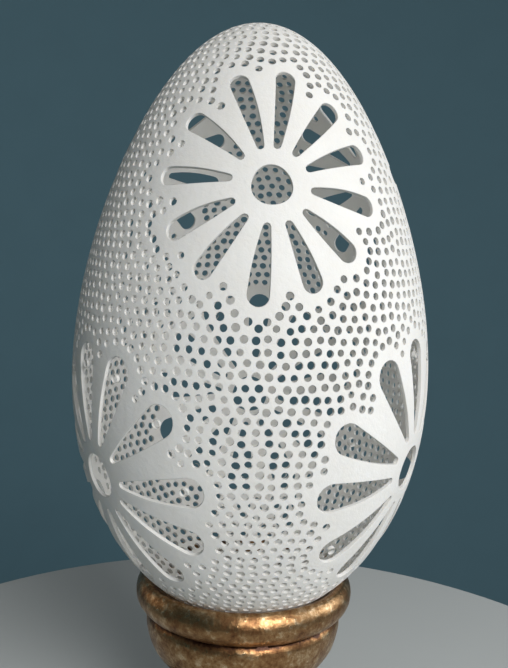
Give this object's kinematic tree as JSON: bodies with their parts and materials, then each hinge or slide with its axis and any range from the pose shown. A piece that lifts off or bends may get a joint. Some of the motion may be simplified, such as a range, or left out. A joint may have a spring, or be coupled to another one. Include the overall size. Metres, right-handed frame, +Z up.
{
  "type": "carved egg on a stand",
  "caption": "Hollow white eggshell, pierced with daisies and drilled dots, resting blunt end down in the dished top of a turned antique-gold stand with a round foot.",
  "frame": {"origin": "centre of the underside of the stand's foot", "axes": "+Z up along the egg's long axis, -Y towards the front of the egg, +X to the right"},
  "size_m": [0.0538, 0.0538, 0.114],
  "materials": {
    "eggshell": "matte white eggshell, finely pored",
    "antique_gold": "brushed antique-gold paint over dark brown on turned wood"
  },
  "bodies": {
    "root": {"egg_shell": "eggshell", "stand": "antique_gold"}
  },
  "joints": []
}
